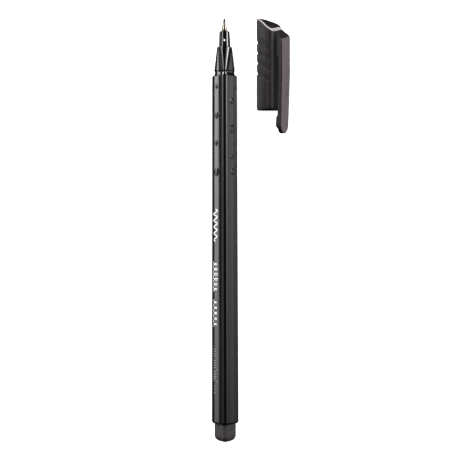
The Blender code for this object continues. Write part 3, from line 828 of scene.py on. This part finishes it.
def build_reservoir(material):
    """Bundle of fibres with a lightly fluted outside and a bore for the nib's rear end."""
    steps = 96
    flutes = 16
    bore_end = NIB_REAR + 1.0
    body, end, bore, channel = 2.3, 2.1, 0.72, 0.2
    rings = []
    outline = [
        (bore, at(RESERVOIR_FRONT)), (end, at(RESERVOIR_FRONT)), (body, at(RESERVOIR_FRONT + 0.3)),
        (body, at(RESERVOIR_REAR - 0.3)), (end, at(RESERVOIR_REAR)), (channel, at(RESERVOIR_REAR)),
        (channel, at(bore_end + 0.5)), (bore, at(bore_end)),
    ]
    for radius, along in soften(outline, 0.1, closed=True):
        depth = 0.04 if radius > 1.5 else 0.0
        ring = []
        for point in circle(radius, steps):
            ripple = 0.5 - 0.5 * math.cos(flutes * math.atan2(point.y, point.x))
            spot = point * (1.0 - depth * ripple / radius)
            ring.append((spot.x, spot.y, along))
        rings.append(ring)
    piece = dress(skin("reservoir_skin", rings, pen_point, joined=True), material)
    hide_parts("ink_reservoir")
    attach(piece, "pen")


def build_film(material):
    """Thin wrap round the reservoir whose ends overlap along one side."""
    inner = 2.36
    thickness = 0.035
    steps = 96
    turn = math.radians(385.0)
    outside, inside = [], []
    for step in range(steps + 1):
        share = step / steps
        angle = turn * share
        radius = inner + 0.06 * share
        direction = Vector((math.cos(angle), math.sin(angle)))
        inside.append(direction * radius)
        outside.append(direction * (radius + thickness))
    section = outside + inside[::-1]
    stations = (RESERVOIR_FRONT + 0.5, 60.0, 90.0, 120.0, RESERVOIR_REAR - 0.5)
    rings = [level(section, at(station)) for station in stations]
    piece = dress(skin("film_skin", rings, pen_point), material)
    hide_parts("reservoir_film")
    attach(piece, "pen")


def build_plug(material):
    spigot = REAR_FLAT - BARREL_WALL - PRESS_GAP
    spigot_corner = REAR_CORNER - BARREL_WALL - PRESS_GAP
    head = spigot - 0.2
    head_corner = spigot_corner - 0.08
    dome_depth = 2.1
    dome_start = PEN_LENGTH - dome_depth
    outline = soften([
        (spigot - 0.3, spigot_corner - 0.3, PLUG_FRONT),
        (spigot, spigot_corner, PLUG_FRONT + 0.5),
        (spigot, spigot_corner, BARREL_REAR - 0.9),
        (head, head_corner, BARREL_REAR - 0.7),
        (head, head_corner, dome_start),
    ], 0.1)
    rings = [level(triangle(flat, corner, arc=28), at(station)) for flat, corner, station in outline]
    end = triangle(head, head_corner, arc=28)
    for degrees in range(6, 85, 6):
        angle = math.radians(degrees)
        scale = math.cos(angle) ** 0.65
        station = dome_start + dome_depth * math.sin(angle)
        rings.append(level([point * scale for point in end], at(station)))
    rings.append([(0.0, 0.0, at(PEN_LENGTH))])
    piece = skin("plug_skin", rings, pen_point)
    radius, mouth, blind = 1.9, at(PLUG_FRONT - 1.0), at(dome_start - 1.5)
    bore = [(0.0, mouth), (radius, mouth), (radius, blind), (0.0, blind)]
    carve(piece, turned("plug_bore", bore, pen_point, hollow=False))
    dress(piece, material, sharp=24.0)
    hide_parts("rear_plug")
    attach(piece, "pen")


# --- cap ---

def end_height(x, up):
    """Height of the cap's slanted, slightly bowed end above a point of its section."""
    along = (x + up) * math.sqrt(0.5)
    return END_HEIGHT - END_SLOPE * along - END_CURVATURE * along * along


def rib_share(x, up):
    """0 on the corner opposite the clip, rising to 1 on the two corners beside the clip."""
    clip_side = Vector((math.cos(FLAT_ANGLE), math.sin(FLAT_ANGLE)))
    point = Vector((x, up))
    if point.x * clip_side.y > point.y * clip_side.x:
        point = clip_side * (2 * point.dot(clip_side)) - point
    reach = (2 * (FRONT_FLAT - FRONT_CORNER) + FRONT_CORNER) * clip_side.x
    return min(1.0, max(0.0, 1.0 + point.x / reach))


def cap_section(inset):
    return triangle(FRONT_FLAT - inset, FRONT_CORNER - inset, arc=20, run=12)


def rib_outline(sizes):
    """(depth, height) points that run up the cap's rear corner over the panel, notches and fine lines."""
    deep = sizes.rib_depth / MM
    panel = sizes.panel_depth / MM
    fine = panel + sizes.line_depth / MM
    period = sizes.rib_period / MM
    points = [(0.0, RIB_FIRST - 0.9)]
    for rib in range(RIB_COUNT):
        base = RIB_FIRST + period * rib
        points += [(0.0 if rib == 0 else 0.02, base - 0.62), (deep, base - 0.22), (deep, base + 0.28)]
        points += [(panel, base + 1.15), (panel, base + 1.42)]
        points += [(fine, base + 1.54), (panel, base + 1.66), (panel, base + 1.98)]
        points += [(fine, base + 2.10), (panel, base + 2.22), (panel, base + 2.50)]
    top = RIB_FIRST + period * RIB_COUNT
    points += [(panel, top - 0.5), (0.0, top - 0.3), (0.0, top)]
    return soften(points, 0.06, steps=2)


def rib_ring(depth, height):
    ring = []
    for x, up in cap_section(0.0):
        share = rib_share(x, up)
        shallow = min(depth, FINE_LIMIT)
        sunk = shallow * min(1.0, (1.0 - share) / 0.12) + (depth - shallow) * max(0.0, 1.0 - share / 0.85)
        shrink = 1.0 - sunk / math.hypot(x, up)
        ring.append((x * shrink, up * shrink, height - RIB_DROP * share))
    return ring


def shell_rings(sizes):
    lip = soften([(0.26, 0.0), (0.1, 0.14), (0.1, 0.66), (0.0, 0.78), (0.0, 1.1)], 0.05)
    rings = [level(cap_section(inset), height) for inset, height in lip]
    rings += [rib_ring(depth, height) for depth, height in rib_outline(sizes)]
    rim = soften([(0.0, -0.7), (0.0, -0.42), (0.36, 0.0), (CAP_WALL, 0.0), (CAP_WALL, -0.5)], 0.08)
    for inset, drop in rim:
        rings.append([(x, up, end_height(x, up) + drop) for x, up in cap_section(inset)])
    inner = cap_section(CAP_WALL)
    hole = nearly_round(WEB_HOLE, arc=20, run=12)
    rings += [level(inner, WEB_TOP), level(hole, WEB_TOP), level(hole, WEB_BOTTOM)]
    rings += [level(inner, WEB_BOTTOM), level(inner, 0.12), level(cap_section(CAP_WALL - 0.12), 0.0)]
    return rings


def vent_tools():
    """Three moulded vents in the corners of the cap's web."""
    from_axis, radius, reach = 3.0, 0.55, 0.8
    bm = bmesh.new()
    for middle in CORNER_ANGLES:
        ring = arc_points(polar(from_axis, middle), radius, 0.0, 360.0, 24)[:-1]
        add_skin(bm, [level(ring, WEB_BOTTOM - reach), level(ring, WEB_TOP + reach)], cap_point)
    return new_piece("corner_vent_tool", bm)


def from_clip(outward, across):
    """Across and up of a place that is given off the shell and across the clip's width."""
    cos, sin = math.cos(FLAT_ANGLE), math.sin(FLAT_ANGLE)
    return outward * cos - across * sin, outward * sin + across * cos


def clip_place(outward, across, height):
    return cap_point(*from_clip(outward, across), height)


def head_height(outward, across):
    """Height of the cap's slanted end over a place in the clip's own directions."""
    return end_height(*from_clip(outward, across))


def bridge_tool():
    """Block that carries the clip's head on the shell, with a top that follows the slanted end."""
    foot = CLIP_ROOT + 0.4
    low, high = -3.0, 1.7
    rings = []
    for outward in (3.0, 3.6, 4.4, 5.1, 5.7):
        outline = soften([
            (low, foot), (high, foot), (high, head_height(outward, high) - 0.3),
            (low, head_height(outward, low) - 0.3)], 0.25, closed=True)
        rings.append([(outward, across, height) for across, height in outline])
    return skin("bridge_tool", rings, clip_place)


def mark_faces(piece, chosen):
    """Give the chosen faces 1 and the others 0 in the attribute that the satin plastic reads."""
    painted_light_split = piece.data.attributes.new("painted_light_split", "FLOAT", "FACE")
    for polygon in piece.data.polygons:
        painted_light_split.data[polygon.index].value = 1.0 if chosen(polygon) else 0.0


def on_rim_highlight(polygon):
    """Whether a face belongs to the outer chamfer of the slanted end, which is painted paler as a highlight.
    """
    spot = (polygon.center - CAP_ORIGIN) / MM
    radial = Vector((spot.x, 0.0, spot.z)).normalized()
    near_end = spot.y > end_height(spot.x, spot.z) - 0.6
    on_shell = spot.x * math.cos(FLAT_ANGLE) + spot.z * math.sin(FLAT_ANGLE) < FRONT_FLAT + 0.05
    return near_end and on_shell and polygon.normal.y > 0.35 and polygon.normal.dot(radial) > 0.4


def build_shell(sizes, material):
    piece = skin("cap_shell_skin", shell_rings(sizes), cap_point, joined=True)
    carve(piece, vent_tools())
    carve(piece, bridge_tool(), "UNION")
    dress(piece, material, sharp=26.0)
    # The chamfer faces take the paler rim colour, a painted highlight.
    mark_faces(piece, on_rim_highlight)
    piece.visible_glossy = False
    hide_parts("cap_shell")
    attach(piece, "cap")


def build_core(material):
    """Inner cap: a blind tube that seals on the nose, and a ring that fills the open end."""
    setback = 1.5
    tube, tube_bore, ring_radius, ring_bore = 2.58, 2.15, 2.0, 1.45
    mouth, shoulder, end = 10.3, 22.7, 30.0
    slant_from = 26.0
    outline = soften([
        (tube_bore, 21.6), (tube_bore, mouth), (tube, mouth), (tube, shoulder), (ring_radius, shoulder),
        (ring_radius, end), (ring_bore, end), (ring_bore, 25.0),
    ], 0.08)
    rings = []
    for radius, height in outline:
        ring = []
        for x, up in nearly_round(radius):
            slanted = end_height(x, up) - setback + height - end
            ring.append((x, up, slanted if height > slant_from else height))
        rings.append(ring)
    piece = dress(skin("cap_core_skin", rings, cap_point), material, sharp=26.0)
    piece.visible_glossy = False
    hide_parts("cap_core")
    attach(piece, "cap")


def clip_outer(height):
    """The clip's outer face leans in from its shoulder towards its tip."""
    lean_start = 12.0
    lean = CLIP_ROOT_OUTER - CLIP_TIP_OUTER
    return CLIP_ROOT_OUTER - lean * max(0.0, (lean_start - height) / lean_start)


def clip_half_width(height):
    radius = CLIP_TIP_WIDTH / 2
    share = min(1.0, max(0.0, (CLIP_ROOT - height) / (CLIP_ROOT - CLIP_TIP)))
    half = blend_values(CLIP_WIDTH, CLIP_TIP_WIDTH, share) / 2
    below = CLIP_TIP + radius - height
    if below <= 0.0:
        return half
    return math.sqrt(max(0.0, radius * radius - below * below))


def clip_ring(height, fillet, inset, pad):
    """Section of the clip: rounded outer edges, and a pad on its inner face near the tip."""
    outer = clip_outer(height) - inset * 0.8
    inner = clip_outer(height) - CLIP_THICKNESS - pad + inset
    half = max(0.05, clip_half_width(height) - inset)
    edge = min(fillet, half * 0.8)
    outline = [(outer, half), (inner, half), (inner, -half), (outer, -half)]
    ring = []
    points = [Vector(point) for point in outline]
    for i, corner in enumerate(points):
        reach = edge if corner.x > (outer + inner) / 2 else min(0.2, edge)
        back = (points[i - 1] - corner).normalized() * reach
        ahead = (points[(i + 1) % 4] - corner).normalized() * reach
        for step in range(6):
            t = step / 5
            ring.append(corner + back * (1 - t) ** 2 + ahead * t * t)
    return [(point.x, point.y, height) for point in ring]


def pad_depth(height):
    """The pad under the clip rises and falls smoothly along a short stretch."""
    near, far, ramp, full = -2.0, -7.0, 0.9, 0.55
    rise = min(1.0, max(0.0, (near - height) / ramp))
    fall = min(1.0, max(0.0, (height - far) / ramp))
    share = min(rise, fall)
    return full * share * share * (3 - 2 * share)


def clip_rings(sizes):
    fillet = sizes.clip_fillet / MM
    rings = []
    for inset, drop in ((0.32, 0.1), (0.14, 0.15), (0.04, 0.27), (0.0, 0.5), (0.0, 2.0)):
        section = clip_ring(CLIP_ROOT, fillet, inset, 0.0)
        rings.append([
            (outward, across, head_height(outward, across) - drop) for outward, across, _ in section])
    height = 21.0
    stop = CLIP_TIP + CLIP_TIP_WIDTH / 2
    while height > stop:
        rings.append(clip_ring(height, fillet, 0.0, pad_depth(height)))
        height -= 0.5
    for degrees in range(0, 86, 5):
        height = stop - CLIP_TIP_WIDTH / 2 * math.sin(math.radians(degrees))
        rings.append(clip_ring(height, fillet, 0.0, pad_depth(height)))
    return rings


def hatch_tool(sizes):
    """Engraved slanting bars on the clip's outer face, with a dot at the lower end."""
    bm = bmesh.new()
    rise = sizes.hatch_depth / MM
    first, pitch, short_bars = 17.0, 1.62, 5
    slant = math.radians(35.0)
    for bar in range(sizes.hatch_count):
        shift, long = (-0.9, 0.95) if bar < short_bars else (-0.5, 1.35)
        add_pip(bm, first - pitch * bar, shift, long, 0.26, slant, rise)
    add_pip(bm, first - pitch * sizes.hatch_count, -0.7, 0.45, 0.45, 0.0, rise)
    return new_piece("hatch_tool", bm)


def add_pip(bm, middle, shift, long, wide, slant, rise):
    """Lens-shaped pip on the clip's face, longer along its slanting direction."""
    cos, sin = math.cos(slant), math.sin(slant)

    def place(u, v, lift):
        across = shift + u * long * cos - v * wide * sin
        height = middle + u * long * sin + v * wide * cos
        return clip_place(clip_outer(height) + lift, across, height)

    add_skin(bm, lens(1.0, rise, limit=60, stride=20, steps=28), place)


def on_flank(polygon):
    """Whether a face of the clip is off its outer face, on the flanks, which keep the cap's darker satin
    colour while the outer face is painted paler as if lit.
    """
    outward = Vector((math.cos(FLAT_ANGLE), 0.0, math.sin(FLAT_ANGLE)))
    return polygon.normal.dot(outward) <= 0.75


def build_clip(sizes, material):
    piece = skin("clip_skin", clip_rings(sizes), clip_place)
    carve(piece, hatch_tool(sizes))
    dress(piece, material, sharp=20.0)
    # The flanks keep the satin colour; the outer face takes the clip colour, painted paler as if lit.
    mark_faces(piece, on_flank)
    piece.visible_glossy = False
    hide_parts("cap_clip")
    reach = Vector((0.0, 1.6 * MM, 0.0))
    CLIP_PIVOT + reach
    CLIP_PIVOT - reach
    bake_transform(piece)


# --- studio ---

# Long soft panels round the pen: tilt from overhead and width in degrees (left is negative), first
# and last Y in metres, and radiance at each end. The floor panel doesn't hide those that lie below it.
PANELS = (
    (-119.0, 12.0, -0.20, 0.15, 0.4, 4.2), (-121.0, 15.0, 0.15, 0.45, 5.2, 5.2),
    (-93.0, 26.0, -0.20, 0.15, 0.3, 0.4), (-95.0, 14.0, 0.15, 0.40, 0.8, 0.8),
    (-66.0, 24.0, -0.20, 0.15, 0.15, 1.3), (-66.0, 24.0, 0.15, 0.60, 0.6, 0.6),
    (-42.0, 20.0, -0.20, 0.03, 0.1, 1.4), (-42.0, 20.0, 0.03, 0.15, 1.4, 5.0),
    (-43.0, 14.0, 0.15, 0.60, 11.0, 11.0), (48.0, 22.0, -0.20, 0.00, 0.2, 2.4),
    (48.0, 22.0, 0.00, 0.15, 2.4, 7.6), (42.0, 18.0, 0.26, 0.60, 4.0, 4.0),
    (74.0, 28.0, -0.20, 0.15, 0.1, 2.8), (65.0, 26.0, 0.15, 0.60, 18.0, 18.0),
    (95.0, 20.0, 0.26, 0.60, 1.2, 1.2), (106.0, 26.0, -0.20, 0.15, 0.25, 1.2),
    (124.0, 12.0, -0.20, 0.15, 0.15, 0.6),
)
PANEL_DISTANCE = 0.6


def add_area_light(name, place, axes, size, low, high):
    """Rectangular light whose radiance runs from low to high along its first axis."""
    light = bpy.data.lights.new(name, "AREA")
    light.shape = "RECTANGLE"
    light.size, light.size_y = size
    light.energy = math.pi * light.size * light.size_y
    light.use_nodes = True
    graph = Graph(light.node_tree)
    spot = graph.node("ShaderNodeNewGeometry", output="Parametric")
    share = graph.node("ShaderNodeSeparateXYZ", None, {0: spot}, output="X")
    graph.feed(light.node_tree.nodes["Emission"], {"Strength": share * (high - low) + low})
    lamp = bpy.data.objects.new(name, light)
    lamp.matrix_world = Matrix.Translation(place) @ Matrix(axes).transposed().to_4x4()
    lamp.visible_camera = False
    bpy.context.scene.collection.objects.link(lamp)


def add_panels():
    for number, (tilt, spread, first, last, low, high) in enumerate(PANELS):
        angle = math.radians(tilt)
        away = Vector((math.sin(angle), 0.0, math.cos(angle)))
        forward = Vector((0.0, 1.0, 0.0))
        width = 2 * PANEL_DISTANCE * math.tan(math.radians(spread) / 2)
        place = away * PANEL_DISTANCE + forward * (first + last) / 2
        axes = (forward, away.cross(forward), away)
        add_area_light(f"panel_{number}", place, axes, (last - first, width), low, high)


def add_key(radiance):
    """Soft light from the front left, low enough to leave the pen's ridge dark."""
    away = Vector((-0.62, 0.70, 0.35)).normalized()
    side = away.cross(Vector((0.0, 0.0, 1.0))).normalized()
    add_area_light("key", away * 0.8, (side, away.cross(side), away), (0.35, 0.25), radiance, radiance)


def add_world(fill):
    """Dim, even surroundings, seen pale behind the object."""
    world = bpy.data.worlds.new("studio")
    world.use_nodes = True
    bpy.context.scene.world = world
    graph = Graph(world.node_tree)
    seen = graph.node("ShaderNodeLightPath", output="Is Camera Ray")
    pale = 0.95
    brightness = graph.node("ShaderNodeMix", None, {"Factor": seen, "A": fill, "B": pale}, "Result")
    graph.feed(world.node_tree.nodes["Background"], {"Color": opaque((1.0,) * 3), "Strength": brightness})


def add_floor(tint, glow):
    """Plain pale panel that glows a little, and isn't seen in the plastic."""
    half = 3.0
    bm = bmesh.new()
    bmesh.ops.create_grid(bm, x_segments=8, y_segments=8, size=half)
    floor = new_piece("floor", bm)
    floor.location.z = -0.02 * MM
    shader = Shader("pale_floor")
    grain = shader.noise(0.2, 2.0)
    material = shader.finish(
        Base_Color=shader.mix(grain, tint, scaled(tint, 0.98)), Roughness=0.9, Specular_IOR_Level=0.0,
        Emission_Color=(1.0, 1.0, 1.0, 1.0), Emission_Strength=glow)
    floor.data.materials.append(material)
    floor.visible_glossy = False
    floor.visible_shadow = False


def add_camera(studio):
    camera = bpy.data.cameras.new("camera")
    camera.sensor_width = 36.0
    distance = studio.camera_height - MIDDLE_HEIGHT * MM
    camera.lens = camera.sensor_width * distance / studio.view_width
    camera.clip_start = 0.01
    camera.clip_end = 20.0
    holder = bpy.data.objects.new("camera", camera)
    holder.location = (studio.camera_shift, 0.0, studio.camera_height)
    holder.rotation_euler.z = studio.roll
    bpy.context.scene.collection.objects.link(holder)
    bpy.context.scene.camera = holder


# --- operators ---

class PEN_OT_stage(bpy.types.Operator):
    """Add the floor, the soft lights and the camera"""
    bl_idname = "technical_pen.stage"
    bl_label = "Stage"

    def execute(self, context):
        studio = context.scene.studio_settings
        add_floor(studio.floor, studio.glow)
        add_world(studio.fill)
        add_panels()
        add_key(studio.key)
        add_camera(studio)
        context.scene.view_settings.view_transform = "Standard"
        return {"FINISHED"}


class PEN_OT_barrel(bpy.types.Operator):
    """Build the glossy barrel with its domes, and the printed marks on its left flat"""
    bl_idname = "technical_pen.barrel"
    bl_label = "Barrel and print"

    def execute(self, context):
        sizes, colours = context.scene.pen_sizes, context.scene.pen_colours
        build_barrel(sizes, gloss_plastic(colours.gloss))
        white = printed_ink("white_ink", colours.print_white)
        grey = printed_ink("grey_ink", colours.print_grey)
        build_marks(sizes, white, grey)
        return {"FINISHED"}


class PEN_OT_nose(bpy.types.Operator):
    """Build the nose section with its cone, neck and breather hole"""
    bl_idname = "technical_pen.nose"
    bl_label = "Nose section"

    def execute(self, context):
        build_nose(context.scene.pen_sizes, bpy.data.materials["gloss_black_plastic"])
        return {"FINISHED"}


class PEN_OT_tip(bpy.types.Operator):
    """Build the ferrule, the fibre nib and the carrier that holds them"""
    bl_idname = "technical_pen.tip"
    bl_label = "Tip"

    def execute(self, context):
        colours = context.scene.pen_colours
        build_ferrule(turned_nickel(colours.nickel))
        build_nib(fibre("inked_fibre", colours.nib, scaled(colours.nib, 1.5), 9.0))
        white = white_plastic(colours.carrier)
        build_carrier(white)
        build_vent_bead(context.scene.pen_sizes, white)
        return {"FINISHED"}


class PEN_OT_inside(bpy.types.Operator):
    """Build the ink reservoir and the film wrapped round it"""
    bl_idname = "technical_pen.inside"
    bl_label = "Reservoir"

    def execute(self, context):
        colours = context.scene.pen_colours
        build_reservoir(fibre("ink_soaked_fibre", colours.reservoir, (0.10, 0.10, 0.13), 4.0))
        build_film(clear_film(colours.film))
        return {"FINISHED"}


class PEN_OT_plug(bpy.types.Operator):
    """Build the satin plug that closes the barrel's rear end"""
    bl_idname = "technical_pen.plug"
    bl_label = "Rear plug"

    def execute(self, context):
        build_plug(satin_plastic("satin_grey_plastic", context.scene.pen_colours.plug, shine=0.5))
        return {"FINISHED"}


class PEN_OT_cap(bpy.types.Operator):
    """Build the ribbed cap shell and its inner cap"""
    bl_idname = "technical_pen.cap"
    bl_label = "Cap"

    def execute(self, context):
        colours = context.scene.pen_colours
        # The second colour is the rim colour, a painted highlight on the chamfer of the slanted end.
        material = satin_plastic("satin_black_plastic", colours.satin, painted_light_split=colours.rim)
        build_shell(context.scene.cap_sizes, material)
        build_core(material)
        return {"FINISHED"}


class PEN_OT_clip(bpy.types.Operator):
    """Build the clip"""
    bl_idname = "technical_pen.clip"
    bl_label = "Clip"

    def execute(self, context):
        colours = context.scene.pen_colours
        # The clip colour paints the outer face paler as if lit; the flanks take the cap's satin colour.
        material = satin_plastic("satin_clip_painted_lit_face", colours.clip, painted_light_split=colours.satin)
        build_clip(context.scene.cap_sizes, material)
        return {"FINISHED"}


OPERATORS = (
    PEN_OT_stage, PEN_OT_barrel, PEN_OT_nose, PEN_OT_tip,
    PEN_OT_inside, PEN_OT_plug, PEN_OT_cap, PEN_OT_clip,
)


class PEN_PT_panel(bpy.types.Panel):
    """Lists the pieces in the order in which they are built"""
    bl_idname = "PEN_PT_panel"
    bl_label = "Technical Pen"
    bl_space_type = "VIEW_3D"
    bl_region_type = "UI"
    bl_category = "Technical Pen"

    def draw(self, context):
        for operator in OPERATORS:
            self.layout.operator(operator.bl_idname)
        for name in GROUPS:
            box = self.layout.box()
            settings = getattr(context.scene, name)
            for setting in settings.__annotations__:
                box.prop(settings, setting)


GROUPS = {
    "pen_sizes": PenSizes,
    "cap_sizes": CapSizes,
    "pen_colours": PenColours,
    "studio_settings": StudioSettings,
}


def register():
    for name, group in GROUPS.items():
        bpy.utils.register_class(group)
        setattr(bpy.types.Scene, name, PointerProperty(type=group))
    for kind in (*OPERATORS, PEN_PT_panel):
        bpy.utils.register_class(kind)


def unregister():
    for kind in (PEN_PT_panel, *reversed(OPERATORS)):
        bpy.utils.unregister_class(kind)
    for name, group in reversed(list(GROUPS.items())):
        delattr(bpy.types.Scene, name)
        bpy.utils.unregister_class(group)


def main():
    register()
    bpy.ops.technical_pen.stage()
    bpy.ops.technical_pen.barrel()
    bpy.ops.technical_pen.nose()
    bpy.ops.technical_pen.tip()
    bpy.ops.technical_pen.inside()
    bpy.ops.technical_pen.plug()
    bpy.ops.technical_pen.cap()
    bpy.ops.technical_pen.clip()


if __name__ == "__main__":
    main()
